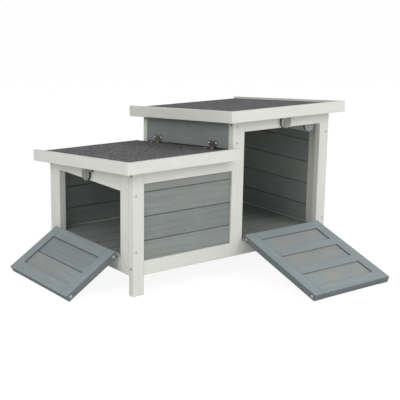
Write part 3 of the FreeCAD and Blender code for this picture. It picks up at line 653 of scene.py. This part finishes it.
class HUTCH_OT_roofs(bpy.types.Operator):
    """Paint the fascias and battens, and finish the plywood decks"""

    bl_idname = "hutch.roofs"
    bl_label = "Finish the roofs' timber"

    def execute(self, context):
        finish_nodes(["lid_front_fascia", "tall_roof_front_fascia"], white_paint("white_fascia_front", ALONG_X))
        finish_nodes(["lid_side_fascia", "tall_roof_side_fascias", "lid_battens"],
                     white_paint("white_fascia_side", ALONG_Y))
        finish_nodes(["lid_deck", "tall_roof_deck"], bare_plywood("roof_plywood", ALONG_X))
        return {"FINISHED"}


class HUTCH_OT_felts(bpy.types.Operator):
    """Lay mineral felt on both roofs"""

    bl_idname = "hutch.felts"
    bl_label = "Lay the roofing felt"

    def execute(self, context):
        felt = mineral_felt("mineral_felt")
        felt_sheet("lid_felt_sheet", "lid_felt", "lid", felt)
        felt_sheet("tall_roof_felt_sheet", "tall_roof_felt", "hutch", felt)
        return {"FINISHED"}


class HUTCH_OT_ramps(bpy.types.Operator):
    """Stain the ramps' stiles up the slope, and their rails, boards and battens across it, with painted shade
    on the stiles' and rails' side faces
    """

    bl_idname = "hutch.ramps"
    bl_label = "Stain the ramps"

    def execute(self, context):
        colours = context.scene.hutch_finishes
        tones = (colours.ramp_light, colours.ramp_dark, colours.ramp_warm)
        # The stiles' and rails' side faces are darkened: painted shade
        sides = ("Z", toned(colours.ramp_dark, 0.62))
        for ramp, (joint, width, seed) in RAMP_BOARDS.items():
            axis = Vector(JOINTS[ramp + "_hinge"]["axis"]).normalized()
            outward = widest_face_normal(ramp + "_boards")
            slope = axis.cross(outward).normalized()
            if slope.z > 0:
                slope = -slope
            across = outward.cross(axis)
            pin = across.dot(Vector(JOINTS[ramp + "_hinge"]["pos_m"]))
            first = pin + joint if across.dot(slope) > 0 else pin - joint
            level = grain_turn(axis, outward)
            up_slope = grain_turn(slope, outward)
            finish_nodes([ramp + "_stiles"],
                         wood_wash(ramp + "_stile_wash", up_slope, *tones, 0.12, contrast=0.5, cut=sides))
            finish_nodes([ramp + "_rails"],
                         wood_wash(ramp + "_rail_wash", level, *tones, 0.16, contrast=0.5, cut=sides))
            if ramp + "_battens" in frame["nodes"]:
                batten_wash = wood_wash(ramp + "_batten_wash", level, *tones, 0.16, contrast=0.5,
                                        worn=colours.ramp_worn, cut=("Z", colours.ramp_worn))
                finish_nodes([ramp + "_battens"], batten_wash)
            finish_nodes([ramp + "_boards"],
                         wood_wash(ramp + "_board_wash", level, *tones, 0.75, boards=(1, first, width, seed)))
        return {"FINISHED"}


class HUTCH_OT_hinges(bpy.types.Operator):
    """Plate the hinges in dark bronze"""

    bl_idname = "hutch.hinges"
    bl_label = "Plate the hinges"

    def execute(self, context):
        bronze = context.scene.hutch_finishes.bronze
        plate = plated_metal("bronze_plate", bronze, toned(bronze, 0.55), 0.3, 0.5, 0.9)
        finish_nodes(["lid_hinge_lid_leaves", "lid_hinge_wall_leaves", "left_ramp_hinge_leaves",
                      "front_ramp_hinge_leaves", "ramp_hinge_frame_leaves", "hinge_pins"], plate)
        return {"FINISHED"}


class HUTCH_OT_screws(bpy.types.Operator):
    """Plate the face, edge, hinge and pivot screws in zinc, and blacken the sunk ones"""

    bl_idname = "hutch.screws"
    bl_label = "Finish the screws"

    def execute(self, context):
        colours = context.scene.hutch_finishes
        dull = plated_metal("zinc_plate", colours.zinc, toned(colours.zinc, 0.8), 0.25, 0.45)
        bright = plated_metal("bright_zinc_plate", colours.bright_zinc, colours.clouded_zinc, 0.4, 0.6, 0.25)
        black = plated_metal("black_phosphate", colours.phosphate, toned(colours.phosphate, 0.5), 0.4, 0.6, 0.6)
        finish_nodes(["face_screws", "left_ramp_screws", "front_ramp_screws", "pivot_screws"], dull)
        finish_nodes(["hinge_screws", "lid_screws"], bright)
        finish_nodes(["sunk_screws"], black)
        return {"FINISHED"}


class HUTCH_OT_tabs(bpy.types.Operator):
    """Make the fluted turn buttons and the door stop"""

    bl_idname = "hutch.tabs"
    bl_label = "Make the turn buttons"

    def execute(self, context):
        tab, sizes = context.scene.hutch_finishes.tab, context.scene.hutch_sizes
        tones = (tab, toned(tab, 0.45), toned(tab, 0.8))
        side_colour = toned(tab, 0.1)
        radius, half_catch = sizes.tab_radius, sizes.catch_width / 2
        for side, outward, facing in (("left", -X_AXIS, "Z"), ("front", -Y_AXIS, "Y")):
            wash = wood_wash(side + "_tab_wash", ALONG_Z, *tones, contrast=1.0, cut=(facing, side_colour))
            button = side + "_turn_button"
            low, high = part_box(button)
            across = Z_AXIS.cross(outward)
            near, far = reach(button, across)
            centre = Vector((low.x, low.y, low.z + radius))
            centre += across * (near + radius - across.dot(centre))
            catch = (high.z - half_catch - centre.z, far - near - radius, half_catch)
            placed_tab(button + "_tab", button, side + "_button", wash, outward, centre, radius, catch)
        low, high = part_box("door_stop_tab")
        stop_tones = (context.scene.hutch_finishes.ramp_light, tab, tab)
        wash = wood_wash("stop_wash", ALONG_Z, *stop_tones, contrast=0.4, cut=("Y", side_colour))
        placed_tab("door_stop", "door_stop_tab", "hutch", wash, -Y_AXIS, (low + high) / 2, radius)
        return {"FINISHED"}


class HUTCH_OT_stage(bpy.types.Operator):
    """Set out the pale floor, the soft lights and the camera"""

    bl_idname = "hutch.stage"
    bl_label = "Set the stage"

    def execute(self, context):
        scene, stage = context.scene, context.scene.hutch_stage
        self.floor(scene, stage)
        self.surround(scene, stage.sky)
        for name, (place, size, power) in SOFTBOXES.items():
            self.softbox(scene, name, Vector(place), size, getattr(stage, power))
        self.camera(scene, stage)
        scene.view_settings.view_transform = "Standard"
        return {"FINISHED"}

    def floor(self, scene, stage):
        shape = bmesh.new()
        bmesh.ops.create_grid(shape, x_segments=2, y_segments=2, size=stage.floor_size / 2)
        mesh = bpy.data.meshes.new("studio_floor")
        shape.to_mesh(mesh)
        shape.free()
        floor = bpy.data.objects.new("studio_floor", mesh)
        scene.collection.objects.link(floor)
        material, tree, _ = new_finish("pale_floor", Roughness=0.9, Base_Color=(0.7, 0.7, 0.69, 1),
                                       Emission_Color=WHITE, Emission_Strength=0.13, Specular_IOR_Level=0.1)
        seen_from_below = put(tree, "NewGeometry").outputs["Backfacing"]
        solid = next(node for node in tree.nodes if node.type == "BSDF_PRINCIPLED").outputs[0]
        seen = maths(tree, "MULTIPLY", put(tree, "LightPath").outputs["Is Camera Ray"], stage.floor_glow)
        glow = put(tree, "Emission", {"Color": WHITE, "Strength": PLAIN_WHITE}).outputs[0]
        lit = put(tree, "MixShader", {0: seen, 1: solid, 2: glow}).outputs[0]
        clear = put(tree, "BsdfTransparent").outputs[0]
        both = put(tree, "MixShader", {0: seen_from_below, 1: lit, 2: clear}).outputs[0]
        output = next(node for node in tree.nodes if node.type == "OUTPUT_MATERIAL")
        tree.links.new(both, output.inputs["Surface"])
        mesh.materials.append(material)

    def surround(self, scene, strength):
        world = bpy.data.worlds.new("pale_surround")
        world.use_nodes = True
        tree = world.node_tree
        tree.nodes.clear()
        lights = put(tree, "Background", {"Color": WHITE, "Strength": strength}).outputs[0]
        seen = put(tree, "Background", {"Color": WHITE, "Strength": PLAIN_WHITE}).outputs[0]
        camera_ray = put(tree, "LightPath").outputs["Is Camera Ray"]
        both = put(tree, "MixShader", {0: camera_ray, 1: lights, 2: seen}).outputs[0]
        put(tree, "OutputWorld", {"Surface": both})
        scene.world = world

    def softbox(self, scene, name, place, size, power):
        lamp = bpy.data.lights.new(name, "AREA")
        lamp.shape = "DISK"
        lamp.size = size
        lamp.energy = power
        box = bpy.data.objects.new(name, lamp)
        box.location = place
        box.rotation_euler = (LIGHTS_AIM - place).to_track_quat("-Z", "Y").to_euler()
        scene.collection.objects.link(box)

    def camera(self, scene, stage):
        lens = bpy.data.cameras.new("camera")
        lens.sensor_width = 36.0
        lens.lens = stage.focal_length
        camera = bpy.data.objects.new("camera", lens)
        place = Vector(stage.camera_place)
        forward = (Vector(stage.camera_aim) - place).normalized()
        level = forward.cross(Z_AXIS).normalized()
        upright = level.cross(forward)
        right = level * math.cos(stage.camera_roll) + upright * math.sin(stage.camera_roll)
        turn = Matrix((right, (-forward).cross(right), -forward)).transposed()
        camera.matrix_world = Matrix.Translation(place) @ turn.to_4x4()
        scene.collection.objects.link(camera)
        scene.camera = camera


class HUTCH_PT_panel(bpy.types.Panel):
    """The hutch's looks"""

    bl_label = "Rabbit hutch"
    bl_idname = "HUTCH_PT_panel"
    bl_space_type = "VIEW_3D"
    bl_region_type = "UI"
    bl_category = "Hutch"

    def draw(self, context):
        for operator in OPERATORS:
            self.layout.operator(operator.bl_idname)
        for group in ("hutch_finishes", "hutch_sizes", "hutch_stage"):
            properties = getattr(context.scene, group)
            column = self.layout.column(heading=properties.bl_rna.description)
            for name in type(properties).__annotations__:
                column.prop(properties, name)


OPERATORS = (HUTCH_OT_patterns, HUTCH_OT_frame, HUTCH_OT_walls, HUTCH_OT_roofs, HUTCH_OT_felts, HUTCH_OT_ramps,
             HUTCH_OT_hinges, HUTCH_OT_screws, HUTCH_OT_tabs, HUTCH_OT_stage)
GROUPS = {"hutch_finishes": HutchFinishes, "hutch_sizes": HutchSizes, "hutch_stage": HutchStage}


def register():
    for kind in (*GROUPS.values(), *OPERATORS, HUTCH_PT_panel):
        bpy.utils.register_class(kind)
    for name, kind in GROUPS.items():
        setattr(bpy.types.Scene, name, bpy.props.PointerProperty(type=kind))


def unregister():
    for name in GROUPS:
        delattr(bpy.types.Scene, name)
    for kind in (HUTCH_PT_panel, *reversed(OPERATORS), *GROUPS.values()):
        bpy.utils.unregister_class(kind)


def main():
    register()
    bpy.ops.hutch.patterns()
    bpy.ops.hutch.frame()
    bpy.ops.hutch.walls()
    bpy.ops.hutch.roofs()
    bpy.ops.hutch.felts()
    bpy.ops.hutch.ramps()
    bpy.ops.hutch.hinges()
    bpy.ops.hutch.screws()
    bpy.ops.hutch.tabs()
    bpy.ops.hutch.stage()


if __name__ == "__main__":
    main()
